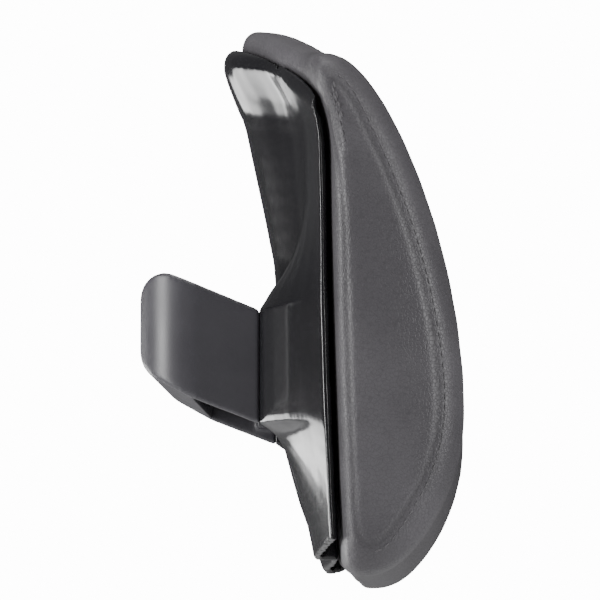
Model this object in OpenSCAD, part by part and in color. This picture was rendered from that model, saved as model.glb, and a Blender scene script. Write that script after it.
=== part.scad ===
// Chair headrest attachment: leather cushion, moulded rear shell with two arms, and a clamp band
// that passes behind the upper post of a chair's backrest. Millimetres, +Z up, the cushion faces -Y.
// The origin is the middle of the post channel, at the height of the clamp band.

/* [Cushion] */
// Overall width of the cushion
cushion_w = 300; // [280:2:320]
// Height of the cushion's top edge at mid-width
crown_z = 151; // [146:1:156]
// Height of the cushion's top edge at its two ends
wing_top_z = 123; // [120:1:125]
// Bottom edge at mid-width
crown_bottom_z = -91; // [-94:1:-88]
// Bottom edge at the two ends
wing_bottom_z = -97; // [-100:1:-96]
// Foremost point of the neck bulge at the two ends
wing_bulge_y = -100.5; // [-103:0.5:-96]
// Foremost point of the neck bulge at mid-width
crown_bulge_y = -86; // [-92:0.5:-80]
// Leather thickness
leather_t = 1.5; // [1:0.1:1.8]
// Thickness of the moulded support board
board_t = 8; // [6:0.5:9]

/* [Shell] */
// Wall thickness of the rear shell
shell_t = 3; // [2.5:0.1:3.2]
// Height of the hood's top edge at mid-width
hood_z = 141; // [138:1:142]
// Farthest point of the hood behind the post's centre plane
hood_y = 5; // [3:0.5:6]
// Half width between the inner faces of the arms
arm_inner_x = 84.5; // [84.5:0.1:84.8]

/* [Post channel] */
// Depth of the chair post that the clamp fits
post_d = 31; // [30:0.5:31.5]

/* [Clamp band] */
// Half width of the band over its outer faces
band_x = 90; // [90:0.5:91]
// Wall thickness of the band
band_t = 5; // [4.9:0.1:5]
// Farthest point of the band behind the post's centre plane
band_rear_y = 39; // [39:0.5:40]
// Outer corner radius of the band in plan
band_corner_r = 25; // [20:1:28]

/* [Brake] */
// Diameter of the guide pins
pin_d = 4; // [3.5:0.5:4]
// Wire diameter of the brake springs
spring_wire_d = 0.9; // [0.7:0.1:1]

/* [Fasteners] */
// Thread diameter of the screws that hold the shell to the board
shell_screw_d = 6; // [6:1:6]
// Thread diameter of the screws that hold the band to the arms
band_screw_d = 5; // [5:1:5]

/* [Hidden] */
$fn = 64;
eps = 0.01;
sides = [-1, 1];

// ---- Cushion form: a teardrop section that changes from mid-width to the ends ----
half_w = cushion_w / 2;
wadding_t = 4;
// A section is [top z, bottom z, back y at the top, top thickness, upper, middle and lower back y,
// bulge y, bulge z].
crown = [crown_z, crown_bottom_z, 0.5, 20, -18, -31, -42.5, crown_bulge_y, -25];
wing = [wing_top_z, wing_bottom_z, -35, 11, -43.5, -44.5, -48.5, wing_bulge_y, -31];
wing_start = 0.95;   // share of the half width where the section has become the wing's
end_round = [[0, 11], [0.013, 6.5], [0.037, 3], [0.08, 0.6]];   // [share from the end, inset]
back_round = 0.6;     // share of the inset that the back edge of an end gets
top_round = 0.55;     // radius of the top back corner as a share of the top's thickness
x_shares = [0.14, 0.27, 0.4, 0.53, 0.66, 0.78, 0.87];

function smooth(t) = let (c = min(1, max(0, t))) c * c * (3 - 2 * c);
function mix(a, b, t) = a + (b - a) * t;
function bez(p, t) = pow(1 - t, 3) * p[0] + 3 * pow(1 - t, 2) * t * p[1]
    + 3 * (1 - t) * t * t * p[2] + t * t * t * p[3];
function curve(p, n, last = 0) = [for (i = [0 : n - 1 + last]) bez(p, i / n)];
function section(x) = mix(crown, wing, smooth(abs(x) / half_w / wing_start));

// Front outline of a section, top to bottom, as [y, z]
function front_line(s) = let (
    y0 = s[2] - s[3], h1 = s[0] - s[8], h2 = s[8] - s[1]
) concat(
    curve([[y0, s[0]], [mix(y0, s[7], 0.43), s[0] - 0.01 * h1], [s[7], s[8] + 0.4 * h1],
        [s[7], s[8]]], 10),
    curve([[s[7], s[8]], [s[7], s[8] - 0.45 * h2], [mix(s[6], s[7], 0.6), s[1]],
        [s[6] - 13, s[1]]], 7, 1));

// Back outline of a section, top to bottom, with as many points as the front; its top corner is round
function back_line(s) = let (r = s[3] * top_round) concat(
    curve([[s[2] - r, s[0]], [s[2] - 0.45 * r, s[0]], [s[2], s[0] - 0.45 * r], [s[2] - 0.3, s[0] - r]], 3),
    curve([[s[2] - 0.3, s[0] - r], [s[2] - 1.4, s[0] - r - 8], [s[4], s[0] - 26], [s[4], s[0] - 40]], 4),
    curve([[s[4], s[0] - 40], [mix(s[4], s[5], 0.6), s[0] - 90], [s[5] - 1, s[1] + 75],
        [s[6], s[1] + 12]], 7),
    curve([[s[6], s[1] + 12], [s[6], s[1] + 4], [s[6] - 3, s[1]], [s[6] - 10, s[1]]], 3, 1));

// Moves a point towards its partner across the section, and towards the section's middle height
function inset_point(p, q, s, d) = let (
    gap = (q[0] - p[0]) / 2,
    zc = (s[0] + s[1]) / 2,
    move = sign(gap) * min(gap < 0 ? max(d * back_round, min(d, leather_t)) : d, abs(gap) * 0.62)
) [p[0] + move, zc + (p[1] - zc) * (1 - d / ((s[0] - s[1]) / 2))];
function inset_line(a, b, s, d) = [for (i = [0 : len(a) - 1]) inset_point(a[i], b[i], s, d)];

// Stations across the width as [x, inset], with the ends rounded and the width cut by trim
right_stations = concat([for (e = end_round) [half_w * (1 - e[0]), e[1]]],
    [for (i = [len(x_shares) - 1 : -1 : 0]) [half_w * x_shares[i], 0]]);
stations = concat([for (r = right_stations) [-r[0], r[1]]], [[0, 0]],
    [for (i = [len(right_stations) - 1 : -1 : 0]) right_stations[i]]);
function front_row(st, d) = let (s = section(st[0]), x = st[0] * (1 - d / half_w))
    [for (p = inset_line(front_line(s), back_line(s), s, st[1] + d)) [x, p[0], p[1]]];
function back_row(st, d) = let (s = section(st[0]), x = st[0] * (1 - d / half_w))
    [for (p = inset_line(back_line(s), front_line(s), s, st[1] + d)) [x, p[0], p[1]]];
function reverse(v) = [for (i = [len(v) - 1 : -1 : 0]) v[i]];
last_i = len(front_line(crown)) - 1;

// Height of the cushion's back surface at a place: y for a given x and z
function back_y(x, z) = let (b = back_line(section(x)))
    lookup(z, [for (i = [last_i : -1 : 0]) [b[i][1], b[i][0]]]);

// ---- Solids from grids of points ----
function quads(nj, ni, base, flip, w) = [for (j = [0 : nj - 2], i = [0 : ni - 2])
    if (!in_window(w, j, i)) let (
        a = base + j * ni + i, b = a + 1, c = a + ni, d = c + 1)
    each flip ? [[a, c, b], [b, c, d]] : [[a, b, c], [b, d, c]]];
function wall_faces(ring, off) = [for (k = [0 : len(ring) - 1]) let (
        a = ring[k], b = ring[(k + 1) % len(ring)])
    each [[a, b, a + off], [b, b + off, a + off]]];

// The quads of a grid that lie inside a window, as its corner cells [j0, i0, j1, i1]
function in_window(w, j, i) = len(w) == 4 && j >= w[0] && j < w[2] && i >= w[1] && i < w[3];
function window_ring(w, ni) = len(w) != 4 ? [] : concat(
    [for (j = [w[0] : w[2] - 1]) j * ni + w[1]], [for (i = [w[1] : w[3] - 1]) w[2] * ni + i],
    [for (j = [w[2] : -1 : w[0] + 1]) j * ni + w[3]], [for (i = [w[3] : -1 : w[1] + 1]) w[0] * ni + i]);

// A solid between two grids of the same size, the one nearer the front first, with an optional window
module between(front, back, window = []) {
    nj = len(front);
    ni = len(front[0]);
    n = nj * ni;
    hole = window_ring(window, ni);
    ring = concat([for (i = [0 : ni - 1]) i], [for (j = [1 : nj - 1]) j * ni + ni - 1],
        [for (i = [ni - 2 : -1 : 0]) (nj - 1) * ni + i], [for (j = [nj - 2 : -1 : 1]) j * ni]);
    polyhedron(
        points = concat([for (r = front) each r], [for (r = back) each r]),
        faces = concat(quads(nj, ni, 0, true, window), quads(nj, ni, n, false, window),
            wall_faces(ring, n), len(hole) > 0 ? wall_faces(hole, n) : []));
}

// A solid through closed loops, with flat ends
module loft(loops) {
    nj = len(loops);
    ni = len(loops[0]);
    polyhedron(
        points = [for (r = loops) each r],
        faces = concat(
            [[for (i = [0 : ni - 1]) i]],
            [for (j = [0 : nj - 2], i = [0 : ni - 1]) let (
                a = j * ni + i, b = j * ni + (i + 1) % ni, c = a + ni, d = b + ni)
                each [[a, c, b], [b, c, d]]],
            [[for (i = [ni - 1 : -1 : 0]) (nj - 1) * ni + i]]));
}

// ---- Cushion pieces ----
back_open_share = 0.4;        // half width of the opening behind the board, one of x_shares
back_open_rows = [7, 13];     // rows of the back outline that the opening runs between
back_open_x = back_open_share * half_w;
board_end = 0.94;             // share of the width that the board covers
board_rows = [4, last_i - 2]; // rows of the back outline that the board runs between
foam_fit = 0.3;               // room round the foam
shell_screw_x = 22;
shell_screw_z = [-42, 46];
t_nut_barrel_d = 7.8;
t_nut_flange_d = 17;
t_nut_flange_t = 1.3;
t_nut_sink = 2.5;             // depth of the recess for the flange

module at_shell_screws() {
    for (sx = sides, z = shell_screw_z)
        translate([sx * shell_screw_x, back_y(shell_screw_x, z), z]) rotate([90, 0, 0]) children();
}

module leather_front_panel() {
    color([0.10, 0.10, 0.11])
    between(
        [for (st = stations) concat([back_row(st, 0)[0]], front_row(st, 0), [back_row(st, 0)[last_i]])],
        [for (st = stations) concat([back_row(st, leather_t)[0]], front_row(st, leather_t),
            [back_row(st, leather_t)[last_i]])]);
}

module leather_side_panel(side) {
    end = side > 0 ? stations[len(stations) - 1] : stations[0];
    function grid(d) = let (f = front_row(end, d), r = back_row(end, d))
        [for (k = [0 : 4]) [for (i = [0 : last_i]) mix(f[i], r[i], k / 4)]];
    color([0.09, 0.09, 0.10])
    between(grid(side > 0 ? 0 : leather_t), grid(side > 0 ? leather_t : 0));
}

module leather_side_panel_left() { leather_side_panel(-1); }

module leather_side_panel_right() { leather_side_panel(1); }

module leather_back_margin() {
    cols = [for (j = [0 : len(stations) - 1]) if (abs(stations[j][0]) < back_open_x + eps) j];
    function rows(d) = [for (st = reverse(stations)) reverse(back_row(st, d))];
    color([0.08, 0.08, 0.09])
    between(rows(leather_t), rows(0),
        [cols[0], last_i - back_open_rows[1], cols[len(cols) - 1], last_i - back_open_rows[0]]);
}

module wadding_wrap() {
    color([0.92, 0.92, 0.90])
    between([for (st = stations) front_row(st, leather_t)],
        [for (st = stations) front_row(st, leather_t + wadding_t)]);
}

// The back of the foam, with a recess that takes the board with room all round
function foam_back(st) = let (
        r = back_row(st, leather_t + foam_fit),
        q = back_row(st, leather_t - foam_fit))
    [for (i = [0 : last_i])
        (i >= board_rows[0] && i <= board_rows[1] && abs(st[0]) < board_end * half_w)
            ? [q[i][0], r[i][1] - board_t - 2 * foam_fit, q[i][2]] : r[i]];

module foam_core() {
    color([0.80, 0.78, 0.70])
    loft([for (st = stations) concat(front_row(st, leather_t + wadding_t), reverse(foam_back(st)))]);
}

module support_board() {
    inner = [for (st = stations) if (abs(st[0]) < board_end * half_w) st];
    function rows(d) = [for (st = inner) let (r = back_row(st, leather_t))
        [for (i = [board_rows[0] : board_rows[1]]) r[i] - [0, d, 0]]];
    color([0.72, 0.55, 0.36])
    difference() {
        between(rows(board_t), rows(0));
        at_shell_screws() {
            translate([0, 0, -5]) cylinder(d = t_nut_barrel_d, h = 30);
            translate([0, 0, leather_t + board_t - t_nut_sink]) cylinder(d = t_nut_flange_d + 0.6, h = 10);
        }
    }
}

staple_rim = 4;               // distance of the staples from the opening
staple_l = 10;
staple_wire = 0.6;
staple_leg = 5;

// One staple lying on the leather: its legs point forwards into the board
module staple(x, z, upright) {
    translate([x, back_y(x, z) + 0.05, z]) rotate([0, upright ? 90 : 0, 0]) {
        translate([-staple_l / 2, 0, -staple_wire / 2]) cube([staple_l, staple_wire, staple_wire]);
        for (s = sides) translate([s * (staple_l - staple_wire) / 2 - staple_wire / 2, -staple_leg,
            -staple_wire / 2]) cube([staple_wire, staple_leg + eps, staple_wire]);
    }
}

module cover_staples() {
    color("silver") {
        for (s = sides, z = [-35 : 14.5 : 81]) staple(s * (back_open_x + staple_rim), z, true);
        for (x = [-45 : 18 : 45], row = [[0, -staple_rim], [1, staple_rim]])
            staple(x, back_line(section(x))[back_open_rows[1 - row[0]]][1] + row[1], false);
    }
}

module board_t_nuts() {
    color("silver") at_shell_screws() difference() {
        union() {
            translate([0, 0, leather_t + board_t - t_nut_sink])
                cylinder(d = t_nut_flange_d, h = t_nut_flange_t);
            translate([0, 0, leather_t + 1]) cylinder(d = t_nut_barrel_d, h = board_t - t_nut_sink);
        }
        cylinder(d = shell_screw_d, h = 30);
    }
}

// ---- Rear shell ----
shell_gap = 0.5;              // room between the shell and the leather
box_x = [30, 76];             // half widths where the centre box is full height and where it ends
shell_end_x = 0.945 * half_w;
arm_top_x = arm_inner_x + 4.5;
// Rear face of the centre box as [z, y]
box_profile = [[-95, -40], [-79, -34.5], [-61, -28], [-47, -24], [-34, -20.5], [-25, -18.6], [22, -18.6],
    [43, -16.9], [65, -12.6], [90, -7.2], [108, -3.4], [118, 1.5], [127, hood_y], [143, hood_y]];
// Free edge of the arms as [z, y]: the joint with the band is between joint_z
joint_z = [-29.6, 18.8];
joint_y = -13;
rim_profile = [[-95, -37.8], [-80, -35], [-64, -31.6], [-50, -27.6], [-41, -24.2], [-34, -19.8],
    [joint_z[0] - 0.4, -14.6], [joint_z[0], joint_y], [joint_z[1], joint_y], [joint_z[1] + 0.6, -13.6],
    [27, -18.2], [35.5, -24.6], [43, -28], [52, -30.4], [62, -32], [76, -32.6], [90, -32.2], [99, -30.8],
    [107, -27.6], [114, -23.5], [125, -18], [140, -14]];

function shell_top(x) = hood_z - (hood_z - 103) * pow(abs(x) / shell_end_x, 1.5);
function shell_bottom(x) = -91 + 11 * pow(abs(x) / shell_end_x, 2);
function floor_y(x, z) = back_y(x, z) + shell_gap + shell_t;
function dish_y(x, z) = max(floor_y(x, z),
    mix(lookup(z, box_profile), floor_y(x, z), smooth((abs(x) - box_x[0]) / (box_x[1] - box_x[0]))));
function rim_y(x, z) = max(floor_y(x, z) + 1, lookup(z, rim_profile));
function flank_y(x, z) = mix(rim_y(arm_top_x, z), floor_y(x, z),
    pow((abs(x) - arm_top_x) / (shell_end_x - arm_top_x), 1.15));
function rear_y(x, z) = abs(x) <= arm_inner_x ? dish_y(x, z)
    : abs(x) <= arm_top_x + eps ? rim_y(x, z) : max(floor_y(x, z), flank_y(x, z));

// Columns as [x on the outside, x on the inside] and rows as [share, height drop, share of depth]
shell_cols = [[0, 0], [15, 15], [30, 30], [38, 38], [46, 46], [54, 54], [62, 62], [70, 70], [77, 77],
    [arm_inner_x, arm_inner_x + shell_t - 0.2], [arm_inner_x + 0.1, arm_inner_x + shell_t],
    [arm_top_x, arm_top_x - 0.8], [96, 94], [105, 103], [116, 114.5], [128, 127],
    [shell_end_x, shell_end_x - 2.5]];
mid_rows = [33, 27, 22, joint_z[1] + 0.5, joint_z[1], 10, 0, -10, -20, joint_z[0], joint_z[0] - 0.5,
    -34, -40];
upper_shares = [0.05, 0.09, 0.13, 0.19, 0.26, 0.34, 0.42, 0.5, 0.58, 0.66, 0.74, 0.82, 0.9];
lower_shares = [0.2, 0.42, 0.64, 0.84, 1];
function shell_heights(x) = concat(
    [for (s = upper_shares) mix(shell_top(x), mid_rows[0], s)], mid_rows,
    [for (s = lower_shares) mix(mid_rows[len(mid_rows) - 1], shell_bottom(x), s)]);

// A column of the outer skin: the top wall, its rounded edge, then the rear face
function outer_col(x) = let (t = shell_top(x), b = back_y(x, t) + shell_gap, r = rear_y(x, t - 4)) concat(
    [[x, b, t], [x, mix(b, r, 0.4), t], [x, mix(b, r, 0.72), t - 1], [x, mix(b, r, 0.93), t - 2.8]],
    [for (z = shell_heights(x)) [x, rear_y(x, z), z]]);
function inner_col(xo, xi) = let (
    t = shell_top(xo), side = sign(xo), b = back_y(xo, t) + shell_gap, r = rear_y(xo, t - 4)
) concat(
    [[xi, b, t - shell_t], [xi, max(b, mix(b, r, 0.4) - 1), t - shell_t],
        [xi, max(b, mix(b, r, 0.72) - 2), t - shell_t - 0.6],
        [xi, max(b, mix(b, r, 0.93) - 3), t - shell_t - 1.2]],
    [for (z = shell_heights(xo)) let (zi = min(z, t - shell_t - 1.8 - (t - z) * 0.5))
        [xi, max(back_y(xi, zi) + shell_gap, rear_y(xo, z) - shell_t), zi]]);

boss_d = 14;
boss_seat = 6.5;              // screw seat behind the leather
module rear_shell() {
    left = [for (i = [len(shell_cols) - 1 : -1 : 1]) [-shell_cols[i][0], -shell_cols[i][1]]];
    cols = concat(left, shell_cols);
    color([0.02, 0.02, 0.025])
    difference() {
        union() {
            between([for (c = cols) inner_col(c[0], c[1])], [for (c = cols) outer_col(c[0])]);
            at_shell_screws() translate([0, 0, -10]) cylinder(d = boss_d, h = 9);
            for (s = sides, z = band_screw_z) scale([s, 1, 1])
                translate([arm_inner_x, band_screw_y, z]) rotate([0, 90, 0]) cylinder(d = 11, h = 10);
        }
        at_shell_screws() {
            translate([0, 0, -20]) cylinder(d = shell_screw_d + 0.6, h = 25);
            translate([0, 0, -boss_seat - 12]) cylinder(d = 13, h = 12);
        }
        for (s = sides, z = band_screw_z) scale([s, 1, 1])
            translate([arm_inner_x - 2, band_screw_y, z]) rotate([0, 90, 0]) cylinder(d = insert_d, h = 11);
    }
}

screw_head_d = 10.5;
screw_head_t = 3;
washer_t = 1;
module shell_screws() {
    color("silver") at_shell_screws() {
        translate([0, 0, -boss_seat - washer_t - screw_head_t]) difference() {
            cylinder(d = screw_head_d, h = screw_head_t);
            translate([0, 0, -1]) cylinder(d = 4.6, h = 3, $fn = 6);
        }
        translate([0, 0, -boss_seat - washer_t - eps]) cylinder(d = shell_screw_d, h = 16);
    }
}

module shell_washers() {
    color("silver") at_shell_screws() translate([0, 0, -boss_seat - washer_t]) difference() {
        cylinder(d = 12, h = washer_t);
        translate([0, 0, -1]) cylinder(d = shell_screw_d + 0.4, h = 4);
    }
}

glide_t = 2;
module front_glide_pad() {
    color([0.15, 0.15, 0.16])
    translate([0, lookup(0, box_profile) + glide_t, -2]) rotate([90, 0, 0]) linear_extrude(glide_t)
        union() {
            square([44, 36], center = true);
            square([56, 24], center = true);
            for (sx = sides, sz = sides) translate([sx * 22, sz * 12]) circle(r = 6);
        }
}

// ---- Clamp band ----
band_inner_x = band_x - band_t;
tongue_y = -33;
tongue_x = 80.3;
tongue_z = [-22, 12];
band_screw_y = -24;
band_screw_z = [-14, 5];
insert_d = 7;
insert_l = 8;
pocket_x = 66;
plate_y = 28;
plate_t = 2;
mech_z = 6;

// Side outline of the band in [y, z]: it rises towards the rear
module band_side() {
    hull() {
        polygon([[joint_y, joint_z[0]], [joint_y, joint_z[1]], [16, 27.6], [16, -18.4]]);
        translate([band_rear_y - 11, 24]) circle(r = 11);
        translate([band_rear_y - 16, 3.6]) circle(r = 16);
    }
}

// Plan outline of the band in [x, y]
module band_plan() {
    difference() {
        hull() {
            translate([-band_x, joint_y]) square([2 * band_x, 1]);
            for (s = sides) translate([s * (band_x - band_corner_r), band_rear_y - band_corner_r])
                circle(r = band_corner_r);
        }
        translate([-band_inner_x, joint_y - 1]) square([2 * band_inner_x, post_d / 2 + 0.4 - joint_y + 1]);
    }
}

// Hollow in the rear bar for the brake, in [y, z]
module pocket_side() {
    polygon([[0, -12.2], [17, -12.2], [27, -8.6], [33, -2], [35.6, 5], [35.6, 28.6], [0, 18.5]]);
}

module band_body() {
    intersection() {
        translate([0, 0, -60]) linear_extrude(120) band_plan();
        translate([-100, 0, 0]) rotate([90, 0, 90]) linear_extrude(200) band_side();
    }
}

module clamp_band() {
    color([0.16, 0.155, 0.17])
    difference() {
        union() {
            difference() {
                band_body();
                translate([-pocket_x, 0, 0]) rotate([90, 0, 90]) linear_extrude(2 * pocket_x) pocket_side();
            }
            for (s = sides) {
                scale([s, 1, 1]) translate([tongue_x, tongue_y, tongue_z[0]])
                    cube([band_inner_x - 0.8 - tongue_x, joint_y + 8 - tongue_y, tongue_z[1] - tongue_z[0]]);
                scale([s, 1, 1]) translate([tongue_x, joint_y + 0.2, tongue_z[0]])
                    cube([band_inner_x + 1 - tongue_x, 8, tongue_z[1] - tongue_z[0]]);
                translate([s * plate_screw_x, plate_y + plate_t, mech_z]) rotate([-90, 0, 0])
                    cylinder(d = 9, h = 7);
            }
        }
        for (s = sides) {
            for (z = band_screw_z) scale([s, 1, 1]) translate([tongue_x - 2, band_screw_y, z])
                rotate([0, 90, 0]) cylinder(d = band_screw_d + 0.5, h = 10);
            translate([s * plate_screw_x, plate_y, mech_z]) rotate([-90, 0, 0]) cylinder(d = 4, h = 8.2);
        }
    }
}

side_glide_x = 80.7;
module side_glide(side) {
    color([0.12, 0.12, 0.13])
    scale([side, 1, 1]) translate([side_glide_x, 0, 2]) rotate([90, 0, 90])
        linear_extrude(band_inner_x - side_glide_x) union() {
            translate([0, -9]) square([13.6, 18]);
            translate([-2, -7]) square([17.6, 14]);
            for (sy = [0, 13.6], sz = [-7, 7]) translate([sy, sz]) circle(r = 2);
        }
}

module side_glide_left() { side_glide(-1); }

module side_glide_right() { side_glide(1); }

module arm_inserts() {
    color("goldenrod") for (s = sides, z = band_screw_z) scale([s, 1, 1])
        translate([arm_inner_x + 0.2, band_screw_y, z]) rotate([0, 90, 0]) difference() {
            cylinder(d = insert_d, h = insert_l);
            translate([0, 0, -1]) cylinder(d = band_screw_d, h = insert_l + 2);
        }
}

module band_screws() {
    color("silver") for (s = sides, z = band_screw_z) scale([s, 1, 1])
        translate([tongue_x, band_screw_y, z]) rotate([0, 90, 0]) {
            translate([0, 0, -2.7]) difference() {
                cylinder(d = 9.2, h = 2.7);
                translate([0, 0, -1]) cylinder(d = 3.5, h = 2.6, $fn = 6);
            }
            translate([0, 0, -eps]) cylinder(d = band_screw_d, h = 11.5);
        }
}

// ---- Sprung brake in the rear bar ----
pin_x = 32;
plate_screw_x = 57;
lining_y = 13;
lining_t = 2.5;
carrier_t = 5;
carrier_y = lining_y + lining_t;
spring_front_y = carrier_y + carrier_t;
bush_flange_t = 0.6;
spring_back_y = plate_y - bush_flange_t;
clip_y = plate_y + plate_t + 0.65;
clip_t = 0.6;
pin_end_y = clip_y + clip_t + 1;

module spring_plate() {
    color("silver") difference() {
        translate([-63, plate_y, mech_z - 11]) cube([126, plate_t, 22]);
        for (s = sides) {
            translate([s * pin_x, plate_y - 1, mech_z]) rotate([-90, 0, 0]) cylinder(d = 7, h = 5);
            translate([s * plate_screw_x, plate_y - 1, mech_z]) rotate([-90, 0, 0]) cylinder(d = 4.5, h = 5);
        }
    }
}

module plate_screws() {
    color("silver") for (s = sides) translate([s * plate_screw_x, plate_y, mech_z]) rotate([-90, 0, 0]) {
        translate([0, 0, -2.6]) difference() {
            cylinder(d = 7.6, h = 2.6);
            translate([0, 0, -1]) cylinder(d = 2.9, h = 2.6, $fn = 6);
        }
        translate([0, 0, -eps]) cylinder(d = 4, h = 8);
    }
}

module pin_bushes() {
    color("ivory") for (s = sides) translate([s * pin_x, plate_y, mech_z]) rotate([-90, 0, 0]) difference() {
        union() {
            translate([0, 0, -bush_flange_t]) cylinder(d = 10, h = bush_flange_t);
            translate([0, 0, -eps]) cylinder(d = 7, h = plate_t + 0.5);
        }
        translate([0, 0, -2]) cylinder(d = pin_d + 0.12, h = 8);
    }
}

module brake_carrier() {
    color([0.10, 0.10, 0.11]) difference() {
        translate([-50, carrier_y, mech_z - 14.5]) cube([100, carrier_t, 29]);
        for (s = sides) {
            translate([s * pin_x, carrier_y + 1.5, mech_z]) rotate([-90, 0, 0]) cylinder(d = pin_d, h = 8);
            translate([s * pin_x, spring_front_y - 0.8, mech_z]) rotate([-90, 0, 0]) difference() {
                cylinder(d = 9.4, h = 2);
                translate([0, 0, -1]) cylinder(d = pin_d + 1.2, h = 4);
            }
        }
    }
}

module brake_lining() {
    color([0.25, 0.22, 0.20])
    translate([-46, lining_y, mech_z - 12.5]) cube([92, lining_t, 25]);
}

module guide_pins() {
    color("silver") for (s = sides) translate([s * pin_x, 0, mech_z]) rotate([-90, 0, 0]) difference() {
        translate([0, 0, carrier_y + 1.5]) cylinder(d = pin_d, h = pin_end_y - carrier_y - 1.5);
        translate([0, 0, clip_y]) difference() {
            cylinder(d = pin_d + 2, h = clip_t);
            translate([0, 0, -1]) cylinder(d = pin_d - 0.8, h = 3);
        }
    }
}

module pin_clips() {
    color("silver") for (s = sides) translate([s * pin_x, clip_y, mech_z]) rotate([-90, 0, 0]) difference() {
        cylinder(d = 8, h = clip_t);
        translate([0, 0, -1]) cylinder(d = pin_d - 0.8, h = 3);
        translate([0, -1.4, -1]) cube([5, 2.8, 3]);
    }
}

spring_r = 3.55;
spring_turns = 3.5;
ring_n = 8;
turn_n = 14;

// A compression spring along Y, from the carrier's seat to the bush's flange
module brake_spring(side) {
    y0 = spring_front_y - 0.8 + spring_wire_d / 2;
    y1 = spring_back_y - spring_wire_d / 2;
    steps = spring_turns * turn_n;
    color("silver")
    loft([for (k = [0 : steps]) let (a = 360 * k / turn_n, y = mix(y0, y1, k / steps))
        [for (m = [0 : ring_n - 1]) let (b = -360 * m / ring_n, r = spring_r + spring_wire_d / 2 * cos(b))
            [side * pin_x + r * cos(a), y + spring_wire_d / 2 * sin(b), mech_z + r * sin(a)]]]);
}

module brake_spring_left() { brake_spring(-1); }

module brake_spring_right() { brake_spring(1); }

leather_front_panel();
leather_side_panel_left();
leather_side_panel_right();
leather_back_margin();
wadding_wrap();
foam_core();
support_board();
cover_staples();
board_t_nuts();
rear_shell();
shell_screws();
shell_washers();
front_glide_pad();
clamp_band();
side_glide_left();
side_glide_right();
arm_inserts();
band_screws();
spring_plate();
plate_screws();
pin_bushes();
brake_carrier();
brake_lining();
guide_pins();
pin_clips();
brake_spring_left();
brake_spring_right();
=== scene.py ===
"""Builds the visual model of a chair headrest: cushion, gloss shell, clamp band and fittings."""

from math import pi

import bmesh
import bpy
import numpy as np
from mathutils import Matrix, Vector
from mathutils.bvhtree import BVHTree
from mathutils.kdtree import KDTree


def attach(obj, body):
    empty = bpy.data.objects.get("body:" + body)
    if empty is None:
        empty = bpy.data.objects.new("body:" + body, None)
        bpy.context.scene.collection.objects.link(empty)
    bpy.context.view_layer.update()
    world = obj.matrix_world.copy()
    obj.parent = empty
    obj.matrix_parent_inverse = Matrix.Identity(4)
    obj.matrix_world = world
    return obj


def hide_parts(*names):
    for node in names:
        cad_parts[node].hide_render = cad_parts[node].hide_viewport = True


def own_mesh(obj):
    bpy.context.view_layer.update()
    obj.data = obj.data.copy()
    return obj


bl_info = {
    "name": "Chair headrest",
    "version": (1, 0, 0),
    "blender": (4, 5, 0),
    "location": "3D View > Sidebar > Headrest",
    "description": "Builds a padded chair headrest with its shell, clamp band and fittings",
    "category": "Object",
}

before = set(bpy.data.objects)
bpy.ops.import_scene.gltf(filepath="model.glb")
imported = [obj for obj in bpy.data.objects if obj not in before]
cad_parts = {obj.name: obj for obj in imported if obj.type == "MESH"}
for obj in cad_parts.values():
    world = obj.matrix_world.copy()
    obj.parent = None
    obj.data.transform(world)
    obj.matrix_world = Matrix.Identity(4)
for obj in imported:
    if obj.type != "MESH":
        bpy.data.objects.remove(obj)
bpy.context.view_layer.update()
SKIN_TRIANGLES = 190000
CUSHION_CELL = 0.003
BACK_INSET = 0.0004
FILL_FRAMES = 20
SWELL_PASSES = 20
COVER_NODES = (
    "leather_front_panel",
    "leather_side_panel_left",
    "leather_side_panel_right",
    "leather_back_margin",
    "wadding_wrap",
    "foam_core",
)


# ---- Settings ----


class CushionSettings(bpy.types.PropertyGroup):
    leather: bpy.props.FloatVectorProperty(
        name="Leather",
        description="Colour of the leather",
        subtype="COLOR",
        default=(0.083, 0.079, 0.086),
        min=0,
        max=1,
    )
    thread: bpy.props.FloatVectorProperty(
        name="Thread",
        description="Colour of the stitching thread",
        subtype="COLOR",
        default=(0.11, 0.105, 0.112),
        min=0,
        max=1,
    )
    puff: bpy.props.FloatProperty(
        name="Puff",
        description="Most that the filling pushes the leather out",
        default=0.0045,
        min=0,
        max=0.01,
        unit="LENGTH",
    )
    start_inset: bpy.props.FloatProperty(
        name="Start inset",
        description="How much smaller the cushion is before it is filled",
        default=0.0008,
        min=0,
        max=0.006,
        unit="LENGTH",
    )
    seam_depth: bpy.props.FloatProperty(
        name="Seam depth",
        description="How far a seam draws the leather in",
        default=0.0005,
        min=0,
        max=0.003,
        unit="LENGTH",
    )
    stitch_pitch: bpy.props.FloatProperty(
        name="Stitch pitch",
        description="Distance from one stitch to the next",
        default=0.0042,
        min=0.002,
        max=0.01,
        unit="LENGTH",
    )
    stitch_offset: bpy.props.FloatProperty(
        name="Stitch offset",
        description="Distance of the top stitching from its seam, towards the middle of the side",
        default=-0.0026,
        min=-0.01,
        max=0.01,
        unit="LENGTH",
    )


class ShellSettings(bpy.types.PropertyGroup):
    plastic: bpy.props.FloatVectorProperty(
        name="Plastic",
        description="Colour of the gloss plastic",
        subtype="COLOR",
        default=(0.011, 0.0108, 0.0125),
        min=0,
        max=1,
    )
    cell: bpy.props.FloatProperty(
        name="Cell",
        description="Size of the mesh cells of the shell",
        default=0.001,
        min=0.0008,
        max=0.004,
        unit="LENGTH",
    )


class BandSettings(bpy.types.PropertyGroup):
    paint: bpy.props.FloatVectorProperty(
        name="Paint",
        description="Colour of the satin paint",
        subtype="COLOR",
        default=(0.058, 0.056, 0.064),
        min=0,
        max=1,
    )
    cell: bpy.props.FloatProperty(
        name="Cell",
        description="Size of the mesh cells of the band",
        default=0.001,
        min=0.0008,
        max=0.004,
        unit="LENGTH",
    )


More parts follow.
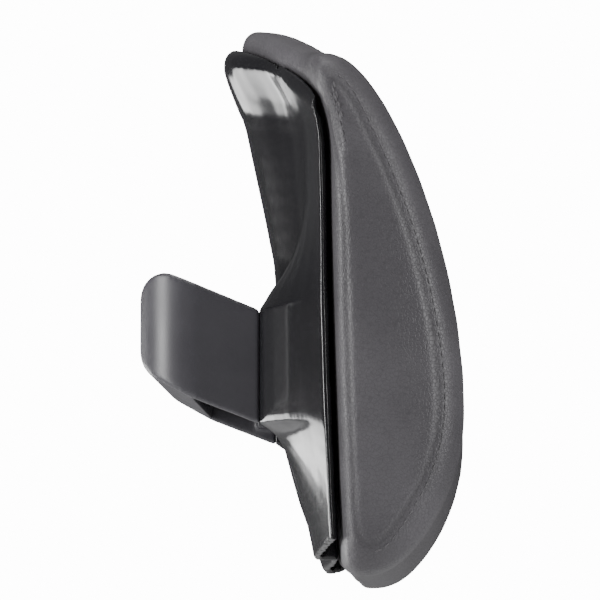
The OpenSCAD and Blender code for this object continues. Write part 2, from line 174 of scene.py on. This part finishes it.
class StageSettings(bpy.types.PropertyGroup):
    floor_z: bpy.props.FloatProperty(
        name="Floor height",
        description="Height of the floor",
        default=-0.34,
        unit="LENGTH",
    )
    softbox: bpy.props.FloatProperty(
        name="Softboxes",
        description="Multiplies the power of every softbox",
        default=1.0,
        min=0,
        max=10,
    )


# ---- Finishes ----


class Value:
    """A socket of a finish. Arithmetic on it adds Math nodes."""

    def __init__(self, finish, socket):
        self.finish = finish
        self.socket = socket

    def _math(self, operation, a, b):
        return self.finish.add("ShaderNodeMath", {"operation": operation}, {0: a, 1: b})

    def __add__(self, other):
        return self._math("ADD", self, other)

    __radd__ = __add__

    def __sub__(self, other):
        return self._math("SUBTRACT", self, other)

    def __rsub__(self, other):
        return self._math("SUBTRACT", other, self)

    def __mul__(self, other):
        return self._math("MULTIPLY", self, other)

    __rmul__ = __mul__


class Finish:
    """A material whose nodes are added one call at a time."""

    def __init__(self, name, **fixed):
        self.material = bpy.data.materials.new(name)
        self.material.use_nodes = True
        self.tree = self.material.node_tree
        self.tree.nodes.clear()
        self.shader = self.tree.nodes.new("ShaderNodeBsdfPrincipled")
        out = self.tree.nodes.new("ShaderNodeOutputMaterial")
        self.tree.links.new(self.shader.outputs[0], out.inputs[0])
        for key, value in fixed.items():
            self.put(self.shader.inputs[key.replace("_", " ").title().replace("Ior", "IOR")], value)

    def put(self, socket, value):
        if isinstance(value, Value):
            self.tree.links.new(value.socket, socket)
        elif socket.type == "RGBA" and len(value) == 3:
            socket.default_value = (*value, 1)
        else:
            socket.default_value = value

    def add(self, kind, settings=None, sockets=None, out=0):
        """Adds a node, gives it its settings, fills its sockets and returns one of its outputs."""
        node = self.tree.nodes.new(kind)
        for key, value in (settings or {}).items():
            if key == "stops":
                ramp = node.color_ramp
                while len(ramp.elements) < len(value):
                    ramp.elements.new(0.5)
                for element, (place, grey) in zip(ramp.elements, value):
                    element.position = place
                    element.color = (grey, grey, grey, 1)
            else:
                setattr(node, key, value)
        for key, value in (sockets or {}).items():
            self.put(node.inputs[key], value)
        return Value(self, node.outputs[out])

    def place(self, scale=(1, 1, 1), turn=(0, 0, 0)):
        """Object coordinates, scaled and turned."""
        spot = self.add("ShaderNodeTexCoord", out="Object")
        return self.add("ShaderNodeMapping", None, {"Vector": spot, "Scale": scale, "Rotation": turn})

    def noise(self, where, scale, detail=2.0, roughness=0.5):
        return self.add(
            "ShaderNodeTexNoise",
            {"noise_dimensions": "3D"},
            {"Vector": where, "Scale": scale, "Detail": detail, "Roughness": roughness},
        )

    def band(self, value, low, high, start=0.0, stop=1.0):
        """Maps value from low..high to start..stop, eased and held at the ends."""
        return self.add(
            "ShaderNodeMapRange",
            {"interpolation_type": "SMOOTHSTEP"},
            {"Value": value, "From Min": low, "From Max": high, "To Min": start, "To Max": stop},
        )

    def blend(self, share, first, second):
        """Mixes two colours."""
        return self.add(
            "ShaderNodeMix",
            {"data_type": "RGBA"},
            {"Factor": share, 6: first, 7: second},
            out=2,
        )

    def named(self, attribute):
        return self.add("ShaderNodeAttribute", {"attribute_name": attribute}, out="Fac")

    def bump(self, height, strength, distance, under=None):
        sockets = {"Strength": strength, "Distance": distance, "Height": height}
        if under:
            sockets["Normal"] = under
        return self.add("ShaderNodeBump", None, sockets)

    def coat(self, **driven):
        """Links what changes over the surface to the shader."""
        for key, value in driven.items():
            self.put(self.shader.inputs[key.replace("_", " ").title()], value)
        return self.material


def tinted(colour, factor):
    return tuple(min(1.0, c * factor) for c in colour)


def leather_finish(colour):
    """Satin grained leather with painted shade along its seams, which are also tighter."""
    leather = Finish("leather", specular_ior_level=0.42, coat_roughness=0.35)
    where = leather.place()
    wander = leather.add(
        "ShaderNodeTexNoise", None, {"Vector": where, "Scale": 210.0, "Detail": 1.0}, out="Color"
    )
    moved = leather.add(
        "ShaderNodeVectorMath",
        {"operation": "MULTIPLY_ADD"},
        {0: wander, 1: (0.0011, 0.0011, 0.0011), 2: where},
    )
    pebble = leather.add(
        "ShaderNodeTexVoronoi", {"feature": "DISTANCE_TO_EDGE"}, {"Vector": moved, "Scale": 640.0}
    )
    crease = leather.band(pebble, 0.0, 0.16)
    pore = leather.noise(where, 2100.0, 2.0)
    tone = leather.noise(where, 22.0, 3.0)
    pull = leather.noise(leather.place((1, 1, 0.35)), 60.0, 2.0)
    seam = leather.named("seam")
    near = leather.band(seam, 0.0, 0.0018, 1.0, 0.0)
    skin = leather.blend(leather.band(tone, 0.35, 0.7), tinted(colour, 0.86), tinted(colour, 1.12))
    skin = leather.blend(leather.band(crease, 0.0, 1.0, 0.3, 0.0), skin, tinted(colour, 0.5))
    # Painted shade: the leather is darkened along the seam groove that sew_seams draws in.
    skin = leather.blend(near * 0.4, skin, tinted(colour, 0.5))
    height = crease * 0.8 + pore * 0.35 + pull * 0.5
    grain = leather.bump(height, 0.32, 0.00035)
    rough = leather.band(tone, 0.3, 0.75, 0.43, 0.53) + crease * -0.05 + near * 0.1
    return leather.coat(base_color=skin, roughness=rough, normal=grain)


def thread_finish(colour):
    """Waxed twisted thread."""
    thread = Finish("thread", specular_ior_level=0.4)
    twist = thread.add(
        "ShaderNodeTexWave",
        {"wave_type": "BANDS", "bands_direction": "DIAGONAL"},
        {"Vector": thread.place(), "Scale": 900.0, "Distortion": 1.0},
    )
    return thread.coat(
        base_color=thread.blend(twist, tinted(colour, 0.7), tinted(colour, 1.2)),
        roughness=thread.band(twist, 0.0, 1.0, 0.5, 0.62),
        normal=thread.bump(twist, 0.5, 0.0002),
    )


def gloss_finish(colour):
    """Gloss moulded plastic with a faint flow in its skin and light dusting."""
    gloss = Finish("gloss_plastic", ior=1.5, specular_ior_level=0.5)
    where = gloss.place()
    flow = gloss.noise(where, 14.0, 2.0)
    dust = gloss.noise(where, 900.0, 3.0, 0.6)
    edge = gloss.named("edge")
    speck = gloss.band(dust, 0.58, 0.75)
    skin = gloss.blend(gloss.band(flow, 0.3, 0.7), tinted(colour, 0.9), tinted(colour, 1.15))
    skin = gloss.blend(speck * 0.12, skin, (0.08, 0.08, 0.085))
    rough = gloss.band(flow, 0.3, 0.7, 0.13, 0.19) + speck * 0.08 + edge * 0.05
    ripple = gloss.bump(gloss.noise(where, 160.0, 1.0), 0.05, 0.0004)
    return gloss.coat(base_color=skin, roughness=rough, normal=ripple)


def paint_finish(colour):
    """Satin powder paint, slightly polished along its edges, with a painted highlight lightening them."""
    paint = Finish("satin_paint", specular_ior_level=0.5)
    where = paint.place()
    grit = paint.noise(where, 1500.0, 2.0, 0.6)
    tone = paint.noise(where, 30.0, 2.0)
    edge = paint.named("edge")
    # Painted highlight: the edges are lightened to stand in for bright bevel lines; the same mask also
    # makes them glossier, as polish.
    edge_polish_and_highlight = paint.band(edge + (tone - 0.5) * 0.5, 0.35, 0.9)
    skin = paint.blend(paint.band(tone, 0.3, 0.7), tinted(colour, 0.92), tinted(colour, 1.08))
    skin = paint.blend(edge_polish_and_highlight * 0.5, skin, tinted(colour, 2.4))
    rough = paint.band(tone, 0.3, 0.7, 0.36, 0.42) + edge_polish_and_highlight * -0.08
    return paint.coat(base_color=skin, roughness=rough, normal=paint.bump(grit, 0.16, 0.0002))


def plastic_finish(name, colour, rough):
    """Plain moulded plastic with a fine spark-eroded texture."""
    plastic = Finish(name, specular_ior_level=0.45)
    where = plastic.place()
    grain = plastic.noise(where, 1700.0, 2.0, 0.6)
    tone = plastic.noise(where, 45.0, 2.0)
    return plastic.coat(
        base_color=plastic.blend(plastic.band(tone, 0.3, 0.7), tinted(colour, 0.85), tinted(colour, 1.15)),
        roughness=plastic.band(tone, 0.3, 0.7, rough - 0.04, rough + 0.06),
        normal=plastic.bump(grain, 0.2, 0.0002),
    )


def metal_finish(name, colour, rough, lines):
    """Plated or turned metal with fine tool lines along an axis."""
    metal = Finish(name, metallic=1.0)
    cloud = metal.noise(metal.place(), 120.0, 3.0)
    tool = metal.noise(metal.place(lines), 300.0, 2.0, 0.6)
    bloom = metal.band(cloud, 0.35, 0.7)
    return metal.coat(
        base_color=metal.blend(bloom, tinted(colour, 0.8), tinted(colour, 1.1)),
        roughness=metal.band(tool, 0.3, 0.7, rough - 0.07, rough + 0.09) + bloom * 0.05,
        normal=metal.bump(tool, 0.12, 0.0001),
    )


def plywood_finish():
    """Birch plywood: veneers on the edges and a fine figure on the faces."""
    wood = Finish("plywood", specular_ior_level=0.3)
    figure = wood.noise(wood.place((1, 1, 9), (0, 0.05, 0)), 26.0, 4.0, 0.6)
    layer = wood.add(
        "ShaderNodeTexWave",
        {"wave_type": "BANDS", "bands_direction": "Y"},
        {"Vector": wood.place(), "Scale": 110.0, "Distortion": 1.2, "Detail": 2.0},
    )
    pale, warm = (0.56, 0.40, 0.24), (0.40, 0.26, 0.14)
    return wood.coat(
        base_color=wood.blend(figure * 0.7 + layer * 0.3, warm, pale),
        roughness=wood.band(figure, 0.3, 0.7, 0.55, 0.68),
        normal=wood.bump(figure, 0.2, 0.0003),
    )


def lining_finish():
    """Rubber friction lining with a moulded pebble grain."""
    lining = Finish("friction_lining", specular_ior_level=0.35)
    where = lining.place()
    pebble = lining.add("ShaderNodeTexVoronoi", {"feature": "F1"}, {"Vector": where, "Scale": 900.0})
    tone = lining.noise(where, 60.0, 2.0)
    return lining.coat(
        base_color=lining.blend(lining.band(tone, 0.3, 0.7), (0.022, 0.020, 0.018), (0.04, 0.036, 0.032)),
        roughness=lining.band(pebble, 0.0, 0.7, 0.72, 0.86),
        normal=lining.bump(pebble, 0.5, 0.0003),
    )


# ---- Mesh work ----


def add_piece(name, mesh):
    obj = bpy.data.objects.new(name, mesh)
    bpy.context.scene.collection.objects.link(obj)
    return obj


def joined_copy(name, nodes):
    """A new object with the merged meshes of some CAD nodes."""
    whole = bmesh.new()
    for node in nodes:
        part = bmesh.new()
        part.from_mesh(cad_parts[node].data)
        bmesh.ops.remove_doubles(part, verts=part.verts, dist=1e-6)
        held = bpy.data.meshes.new("held")
        part.to_mesh(held)
        part.free()
        whole.from_mesh(held)
        bpy.data.meshes.remove(held)
    mesh = bpy.data.meshes.new(name)
    whole.to_mesh(mesh)
    whole.free()
    return add_piece(name, mesh)


def apply_modifiers(obj):
    bpy.context.view_layer.update()
    graph = bpy.context.evaluated_depsgraph_get()
    mesh = bpy.data.meshes.new_from_object(obj.evaluated_get(graph))
    obj.modifiers.clear()
    spare = obj.data
    obj.data = mesh
    name = spare.name
    bpy.data.meshes.remove(spare)
    mesh.name = name


def remeshed(obj, cell):
    """Turns the object's closed solids into one even skin."""
    modifier = obj.modifiers.new("Remesh", "REMESH")
    modifier.mode = "VOXEL"
    modifier.voxel_size = cell
    modifier.adaptivity = 0
    apply_modifiers(obj)
    keep_largest(obj.data)


def keep_largest(mesh):
    """Removes every island but the largest."""
    skin = bmesh.new()
    skin.from_mesh(mesh)
    left = set(skin.verts)
    islands = []
    while left:
        start = left.pop()
        island, todo = {start}, [start]
        while todo:
            for edge in todo.pop().link_edges:
                for vert in edge.verts:
                    if vert in left:
                        left.remove(vert)
                        island.add(vert)
                        todo.append(vert)
        islands.append(island)
    islands.sort(key=len)
    for island in islands[:-1]:
        bmesh.ops.delete(skin, geom=list(island), context="VERTS")
    bmesh.ops.recalc_face_normals(skin, faces=skin.faces)
    skin.to_mesh(mesh)
    skin.free()


def points_of(mesh):
    flat = np.empty(len(mesh.vertices) * 3)
    mesh.vertices.foreach_get("co", flat)
    return flat.reshape(-1, 3)


def place_points(mesh, points):
    mesh.vertices.foreach_set("co", points.ravel())
    mesh.update()


def normals_of(mesh):
    flat = np.empty(len(mesh.vertices) * 3)
    mesh.vertex_normals.foreach_get("vector", flat)
    return flat.reshape(-1, 3)


def edges_of(mesh):
    flat = np.empty(len(mesh.edges) * 2, dtype=np.int32)
    mesh.edges.foreach_get("vertices", flat)
    return flat.reshape(-1, 2)


def averaged(values, edges, count):
    """The mean of each vertex's neighbours."""
    a, b = edges[:, 0], edges[:, 1]
    size = len(values)
    columns = [
        np.bincount(a, values[b, k], size) + np.bincount(b, values[a, k], size)
        for k in range(values.shape[1])
    ]
    return np.stack(columns, 1) / count[:, None]


def turn_of(mesh, edges, count, rings):
    """How much the surface turns round each vertex, from 0 on a flat face."""
    normals = normals_of(mesh)
    for _ in range(rings):
        normals = averaged(normals, edges, count)
    return 1 - np.linalg.norm(normals, axis=1)


def even_out(mesh, passes, first=2, low=0.02, high=0.06, rings=3):
    """Fairs a dense mesh: a few light passes everywhere, then many where the surface hardly turns."""
    edges = edges_of(mesh)
    count = np.maximum(np.bincount(edges.ravel(), minlength=len(mesh.vertices)), 1)
    points = points_of(mesh)
    for _ in range(first):
        points += 0.6 * (averaged(points, edges, count) - points)
        points -= 0.4 * (averaged(points, edges, count) - points)
    place_points(mesh, points)
    turn = turn_of(mesh, edges, count, rings)
    share = np.clip(1 - (turn - low) / (high - low), 0, 1)[:, None]
    for _ in range(passes):
        points += 0.6 * share * (averaged(points, edges, count) - points)
        points -= 0.62 * share * (averaged(points, edges, count) - points)
    place_points(mesh, points)


def eased(values, low, high):
    share = np.clip((values - low) / (high - low), 0, 1)
    return share * share * (3 - 2 * share)


def thinned(obj, most):
    """Collapses the flattest cells until the object has at most this many triangles."""
    obj.data.calc_loop_triangles()
    now = len(obj.data.loop_triangles)
    if now > most:
        modifier = obj.modifiers.new("Thinner", "DECIMATE")
        modifier.ratio = most / now
        apply_modifiers(obj)


def store(mesh, name, values):
    layer = mesh.attributes.new(name, "FLOAT", "POINT")
    layer.data.foreach_set("value", np.asarray(values, dtype=np.float32))


def mark_edges(mesh):
    """Stores how near each vertex is to an edge, from 0 to 1."""
    edges = edges_of(mesh)
    count = np.maximum(np.bincount(edges.ravel(), minlength=len(mesh.vertices)), 1)
    store(mesh, "edge", eased(turn_of(mesh, edges, count, 2), 0.02, 0.2))


def finish_piece(obj, material, slot, body, *nodes):
    obj.data.materials.clear()
    obj.data.materials.append(material)
    obj.data.shade_smooth()
    if nodes:
        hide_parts(*nodes)
    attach(obj, body)


# ---- Cushion ----


def fill_with_pressure(obj, hold, puff):
    """Blows the leather out like a stuffed cover, except where it lies on the board."""
    mesh = obj.data
    rest = points_of(mesh)
    group = obj.vertex_groups.new(name="held")
    for index in np.nonzero(hold > 0.02)[0]:
        group.add([int(index)], float(hold[index]), "REPLACE")
    cloth = obj.modifiers.new("Filling", "CLOTH")
    cloth.settings.use_pressure = True
    cloth.settings.uniform_pressure_force = 4.0
    cloth.settings.tension_stiffness = 18
    cloth.settings.compression_stiffness = 18
    cloth.settings.bending_stiffness = 1.5
    cloth.settings.vertex_group_mass = "held"
    cloth.settings.effector_weights.gravity = 0
    cloth.point_cache.frame_start = 1
    cloth.point_cache.frame_end = FILL_FRAMES
    scene = bpy.context.scene
    for step in range(1, FILL_FRAMES + 1):
        scene.frame_set(step)
    graph = bpy.context.evaluated_depsgraph_get()
    filled = obj.evaluated_get(graph).to_mesh()
    swell = points_of(filled) - rest
    obj.evaluated_get(graph).to_mesh_clear()
    obj.modifiers.clear()
    obj.vertex_groups.clear()
    scene.frame_set(1)
    edges = edges_of(mesh)
    count = np.maximum(np.bincount(edges.ravel(), minlength=len(rest)), 1)
    for _ in range(SWELL_PASSES):
        swell = averaged(swell, edges, count)
    far = np.linalg.norm(swell, axis=1)
    reach = puff * np.tanh(far / puff) / np.maximum(far, 1e-9)
    place_points(mesh, rest + swell * (reach * (1 - hold))[:, None])


def panel_outline(node):
    """A side panel's side, its smoothed outer outline as (y, z) and the outline's outward normals."""
    panel = bmesh.new()
    panel.from_mesh(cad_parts[node].data)
    bmesh.ops.remove_doubles(panel, verts=panel.verts, dist=1e-6)
    outer = max((v.co.x for v in panel.verts), key=abs)
    side = 1 if outer > 0 else -1
    rim = set()
    for edge in panel.edges:
        level = [all(abs(v.co.x - outer) < 5e-5 for v in face.verts) for face in edge.link_faces]
        if sorted(level) == [False, True]:
            rim.update((v.co.y, v.co.z) for v in edge.verts)
    panel.free()
    flat = np.array(sorted(rim))
    middle = (flat.max(0) + flat.min(0)) / 2
    spread = flat.max(0) - flat.min(0)
    around = (flat - middle) / spread
    flat = flat[np.argsort(np.arctan2(around[:, 1], around[:, 0]))]
    closed = np.vstack([flat, flat[:1]])
    along = np.concatenate([[0], np.cumsum(np.linalg.norm(np.diff(closed, axis=0), axis=1))])
    steps = int(along[-1] / 0.0005)
    marks = np.linspace(0, along[-1], steps, endpoint=False)
    loop = np.stack([np.interp(marks, along, closed[:, k]) for k in range(2)], 1)
    for _ in range(60):
        loop = (np.roll(loop, 2, 0) + loop + np.roll(loop, -2, 0)) / 3
    along_loop = np.roll(loop, -1, 0) - np.roll(loop, 1, 0)
    along_loop /= np.linalg.norm(along_loop, axis=1)[:, None]
    outward = np.stack([along_loop[:, 1], -along_loop[:, 0]], 1)
    return side, loop, outward


def laid_on(tree, side, flat):
    """Drops (y, z) points onto the cushion's end from outside."""
    spots = []
    for y, z in flat:
        hit, normal, _, _ = tree.ray_cast(Vector((side * 0.3, y, z)), Vector((-side, 0, 0)))
        if hit:
            spots.append((hit, normal))
    return spots


def tree_of(mesh):
    skin = bmesh.new()
    skin.from_mesh(mesh)
    tree = BVHTree.FromBMesh(skin)
    skin.free()
    return tree


def sew_seams(mesh, depth):
    """Draws the leather in along each side panel's seam and stores the distance to it."""
    tree = tree_of(mesh)
    spots = []
    for node in ("leather_side_panel_left", "leather_side_panel_right"):
        side, loop, _ = panel_outline(node)
        spots += [hit for hit, _ in laid_on(tree, side, loop)]
    kd = KDTree(len(spots))
    for index, spot in enumerate(spots):
        kd.insert(spot, index)
    kd.balance()
    points, normals = points_of(mesh), normals_of(mesh)
    away = np.array([kd.find(p)[2] for p in points])
    pull = depth * np.exp(-((away / 0.0014) ** 2)) + depth * 0.3 * np.exp(-((away / 0.004) ** 2))
    place_points(mesh, points - normals * pull[:, None])
    store(mesh, "seam", np.minimum(away, 0.02))


def stitch_rows(mesh, pitch, offset):
    """Stitches beside the front part of each side panel's seam, half sunk in the leather."""
    tree = tree_of(mesh)
    rows = bmesh.new()
    for node in ("leather_side_panel_left", "leather_side_panel_right"):
        side, loop, outward = panel_outline(node)
        line = loop - outward * offset
        gaps = np.linalg.norm(np.diff(np.vstack([line, line[:1]]), axis=0), axis=1)
        marks = np.concatenate([[0], np.cumsum(gaps)])
        count = int(marks[-1] / pitch)
        for k in range(count):
            ends = []
            for mark in (k * pitch, k * pitch + pitch * 0.72):
                index = int(np.searchsorted(marks, mark)) % len(line)
                ends += [index]
            if outward[ends[0], 0] > -0.2:
                continue
            spots = laid_on(tree, side, line[ends])
            if len(spots) < 2:
                continue
            (a, normal), (b, _) = spots
            lengthwise = (b - a).normalized()
            across = normal.cross(lengthwise).normalized()
            turn = Matrix((lengthwise, across, lengthwise.cross(across))).transposed().to_4x4()
            size = Matrix.Diagonal(((b - a).length / 2, 0.00036, 0.00034, 1))
            made = bmesh.ops.create_uvsphere(rows, u_segments=8, v_segments=6, radius=1)
            centre = (a + b) / 2 + normal * 0.00008
            bmesh.ops.transform(
                rows,
                matrix=Matrix.Translation(centre) @ turn @ size @ Matrix.Rotation(pi / 2, 4, "Y"),
                verts=made["verts"],
            )
    bmesh.ops.recalc_face_normals(rows, faces=rows.faces)
    thread = bpy.data.meshes.new("side_stitching")
    rows.to_mesh(thread)
    rows.free()
    return thread


class HEADREST_OT_cushion(bpy.types.Operator):
    """Makes the filled leather cushion with its seams and stitching"""

    bl_idname = "headrest.cushion"
    bl_label = "Cushion"

    def execute(self, context):
        settings = context.scene.headrest_cushion
        cushion = joined_copy("leather_cushion", COVER_NODES + ("support_board",))
        remeshed(cushion, CUSHION_CELL)
        mesh = cushion.data
        even_out(mesh, 12, first=6, low=0.08, high=0.2)
        normals = normals_of(mesh)
        hold = eased(normals[:, 1], 0.1, 0.55)
        inset = settings.start_inset * (1 - hold) + BACK_INSET * hold
        place_points(mesh, points_of(mesh) - normals * inset[:, None])
        fill_with_pressure(cushion, hold, settings.puff)
        smoother = cushion.modifiers.new("Smoother", "SUBSURF")
        smoother.levels = smoother.render_levels = 1
        apply_modifiers(cushion)
        mesh = cushion.data
        sew_seams(mesh, settings.seam_depth)
        finish_piece(cushion, leather_finish(settings.leather), "leather", "headrest", *COVER_NODES)
        thread = add_piece(
            "side_stitching", stitch_rows(mesh, settings.stitch_pitch, settings.stitch_offset)
        )
        finish_piece(thread, thread_finish(settings.thread), "leather", "headrest")
        return {"FINISHED"}


# ---- Shell and band ----


class HEADREST_OT_shell(bpy.types.Operator):
    """Makes the gloss rear shell"""

    bl_idname = "headrest.shell"
    bl_label = "Rear shell"

    def execute(self, context):
        settings = context.scene.headrest_shell
        shell = joined_copy("rear_shell_skin", ("rear_shell",))
        remeshed(shell, settings.cell)
        even_out(shell.data, 30, first=8)
        thinned(shell, SKIN_TRIANGLES)
        mark_edges(shell.data)
        finish_piece(shell, gloss_finish(settings.plastic), "gloss_shell", "headrest", "rear_shell")
        return {"FINISHED"}


class HEADREST_OT_band(bpy.types.Operator):
    """Makes the painted clamp band with eased edges"""

    bl_idname = "headrest.band"
    bl_label = "Clamp band"

    def execute(self, context):
        settings = context.scene.headrest_band
        band = joined_copy("clamp_band_casting", ("clamp_band",))
        remeshed(band, settings.cell)
        even_out(band.data, 25, first=10)
        thinned(band, SKIN_TRIANGLES)
        mark_edges(band.data)
        finish_piece(band, paint_finish(settings.paint), "band_paint", "headrest", "clamp_band")
        return {"FINISHED"}


# ---- Fittings ----


class HEADREST_OT_fittings(bpy.types.Operator):
    """Gives every screw, spring, pin, pad and board its finish"""

    bl_idname = "headrest.fittings"
    bl_label = "Fittings"

    def execute(self, context):
        zinc = metal_finish("zinc_plate", (0.60, 0.61, 0.62), 0.30, (1, 12, 1))
        wire = metal_finish("spring_wire", (0.48, 0.48, 0.50), 0.24, (8, 1, 8))
        brass = metal_finish("turned_brass", (0.74, 0.55, 0.27), 0.28, (14, 1, 1))
        pad = plastic_finish("glide_plastic", (0.030, 0.030, 0.032), 0.5)
        bush = plastic_finish("natural_plastic", (0.72, 0.69, 0.60), 0.42)
        finishes = {
            zinc: (
                "cover_staples", "board_t_nuts", "shell_screws", "shell_washers", "band_screws",
                "spring_plate", "plate_screws", "guide_pins", "pin_clips",
            ),
            brass: ("arm_inserts",),
            pad: ("front_glide_pad", "side_glide_left", "side_glide_right", "brake_carrier"),
            bush: ("pin_bushes",),
            lining_finish(): ("brake_lining",),
            plywood_finish(): ("support_board",),
        }
        for material, nodes in finishes.items():
            for node in nodes:
                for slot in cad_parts[node].material_slots:
                    slot.material = material
        for node in ("brake_spring_left", "brake_spring_right"):
            spring = joined_copy(node + "_coil", (node,))
            finish_piece(spring, wire, "steel", "headrest", node)
            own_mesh(spring)
        return {"FINISHED"}


# ---- Stage ----


def softbox(name, place, aim, size, power):
    lamp = bpy.data.lights.new(name, "AREA")
    lamp.shape = "RECTANGLE"
    lamp.size, lamp.size_y = size
    lamp.energy = power
    obj = bpy.data.objects.new(name, lamp)
    obj.location = place
    obj.rotation_mode = "QUATERNION"
    obj.rotation_quaternion = (Vector(aim) - Vector(place)).to_track_quat("-Z", "Y")
    obj.visible_camera = False
    bpy.context.scene.collection.objects.link(obj)


def studio_world():
    """A white room for the eye that lights the object more softly."""
    world = bpy.data.worlds.new("studio")
    world.use_nodes = True
    tree = world.node_tree
    tree.nodes.clear()
    out = tree.nodes.new("ShaderNodeOutputWorld")
    seen = tree.nodes.new("ShaderNodeBackground")
    seen.inputs["Color"].default_value = (1, 1, 1, 1)
    seen.inputs["Strength"].default_value = 14.0
    room = tree.nodes.new("ShaderNodeBackground")
    room.inputs["Color"].default_value = (0.98, 0.98, 1, 1)
    room.inputs["Strength"].default_value = 0.1
    path = tree.nodes.new("ShaderNodeLightPath")
    either = tree.nodes.new("ShaderNodeMixShader")
    tree.links.new(path.outputs["Is Camera Ray"], either.inputs[0])
    tree.links.new(room.outputs[0], either.inputs[1])
    tree.links.new(seen.outputs[0], either.inputs[2])
    tree.links.new(either.outputs[0], out.inputs[0])
    bpy.context.scene.world = world


class HEADREST_OT_stage(bpy.types.Operator):
    """Makes the floor, the soft lights and the camera"""

    bl_idname = "headrest.stage"
    bl_label = "Stage"

    def execute(self, context):
        settings = context.scene.headrest_stage
        floor_mesh = bpy.data.meshes.new("floor")
        floor = bmesh.new()
        bmesh.ops.create_grid(floor, x_segments=1, y_segments=1, size=6)
        bmesh.ops.translate(floor, verts=floor.verts, vec=(0, 0, settings.floor_z))
        floor.to_mesh(floor_mesh)
        floor.free()
        ground = add_piece("floor", floor_mesh)
        paper = Finish("pale_floor", specular_ior_level=0.2, roughness=0.7)
        cloud = paper.noise(paper.place(), 3.0, 2.0)
        ground.data.materials.append(
            paper.coat(base_color=paper.blend(cloud, (0.78, 0.78, 0.79), (0.84, 0.84, 0.84)))
        )
        studio_world()
        power = settings.softbox
        middle = (0, -0.03, 0.02)
        softbox("top_softbox", (-0.25, 0.05, 1.2), middle, (1.1, 0.9), 13 * power)
        softbox("rear_left_softbox", (-0.40, 1.15, 0.2), middle, (0.22, 0.8), 17 * power)
        softbox("front_left_softbox", (-0.85, -1.05, 0.3), middle, (0.45, 0.8), 13 * power)
        softbox("low_rear_softbox", (0.6, 0.74, -0.13), (0, 0, 0.1), (0.5, 0.26), 3.5 * power)
        eye = Vector((-2.0, -0.095, -0.136))
        lens = bpy.data.cameras.new("camera")
        lens.sensor_width = 36
        lens.lens = 272
        lens.clip_start, lens.clip_end = 0.05, 30
        camera = bpy.data.objects.new("camera", lens)
        camera.location = eye
        camera.rotation_mode = "QUATERNION"
        camera.rotation_quaternion = Vector((1.85, 0.0626, 0.1537)).to_track_quat("-Z", "Y")
        context.scene.collection.objects.link(camera)
        context.scene.camera = camera
        return {"FINISHED"}


# ---- Panel and run ----

STEPS = (
    HEADREST_OT_cushion,
    HEADREST_OT_shell,
    HEADREST_OT_band,
    HEADREST_OT_fittings,
    HEADREST_OT_stage,
)
SETTINGS = {
    "headrest_cushion": CushionSettings,
    "headrest_shell": ShellSettings,
    "headrest_band": BandSettings,
    "headrest_stage": StageSettings,
}


class HEADREST_PT_panel(bpy.types.Panel):
    """Lists the headrest's settings and steps"""

    bl_label = "Headrest"
    bl_idname = "HEADREST_PT_panel"
    bl_space_type = "VIEW_3D"
    bl_region_type = "UI"
    bl_category = "Headrest"

    def draw(self, context):
        for name, group in SETTINGS.items():
            column = self.layout.column(align=True)
            for key in group.__annotations__:
                column.prop(getattr(context.scene, name), key)
        for step in STEPS:
            self.layout.operator(step.bl_idname)


def register():
    for group in SETTINGS.values():
        bpy.utils.register_class(group)
    for name, group in SETTINGS.items():
        setattr(bpy.types.Scene, name, bpy.props.PointerProperty(type=group))
    for step in STEPS:
        bpy.utils.register_class(step)
    bpy.utils.register_class(HEADREST_PT_panel)


def unregister():
    bpy.utils.unregister_class(HEADREST_PT_panel)
    for step in reversed(STEPS):
        bpy.utils.unregister_class(step)
    for name, group in SETTINGS.items():
        delattr(bpy.types.Scene, name)
        bpy.utils.unregister_class(group)


def main():
    register()
    for step in STEPS:
        family, name = step.bl_idname.split(".")
        getattr(getattr(bpy.ops, family), name)()


if __name__ == "__main__":
    main()
